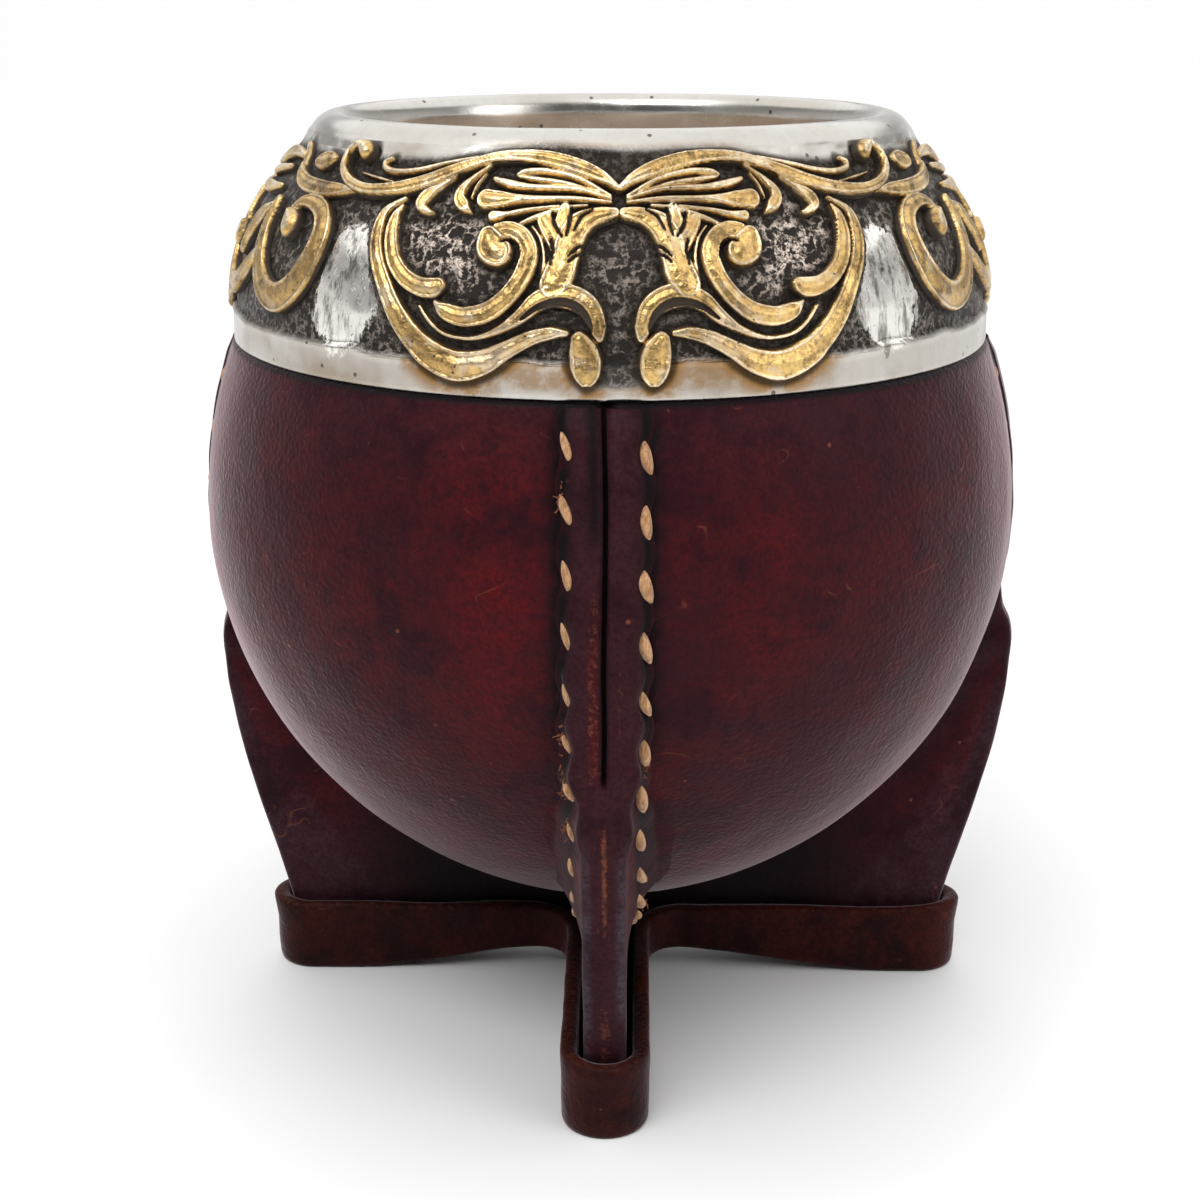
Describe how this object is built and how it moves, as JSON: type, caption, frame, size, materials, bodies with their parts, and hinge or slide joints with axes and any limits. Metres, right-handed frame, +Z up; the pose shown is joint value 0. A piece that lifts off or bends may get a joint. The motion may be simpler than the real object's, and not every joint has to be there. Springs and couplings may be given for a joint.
{
  "type": "mate gourd cup",
  "caption": "Hollow calabash mate cup in a sewn leather cover with fin legs on a cross-shaped leather tray, and an ornamented metal ferrule round its open mouth.",
  "frame": {"origin": "on the surface the cup stands on, under the middle of the mouth", "axes": "+Z up the cup's axis to the mouth, -Y to the front scroll, +X to the right of it"},
  "size_m": [0.097, 0.097, 0.1064],
  "materials": {
    "calabash": "dry, matt inside of a cured gourd",
    "leather": "oxblood vegetable-tanned leather, mottled and lightly waxed",
    "tray_leather": "dark red-brown leather with rubbed edges",
    "nickel_silver": "polished, with dark patina in the recesses",
    "brass": "polished highlights over dark patina",
    "thread": "waxed tan thread"
  },
  "bodies": {
    "root": {"gourd_shell": "calabash", "leather_cover": "leather", "base_tray": "tray_leather", "ferrule": "nickel_silver", "scroll_front_left_half": "brass", "scroll_front_right_half": "brass", "spray_right_left_half": "brass", "spray_right_right_half": "brass", "scroll_back_left_half": "brass", "scroll_back_right_half": "brass", "spray_left_left_half": "brass", "spray_left_right_half": "brass"}
  },
  "joints": []
}
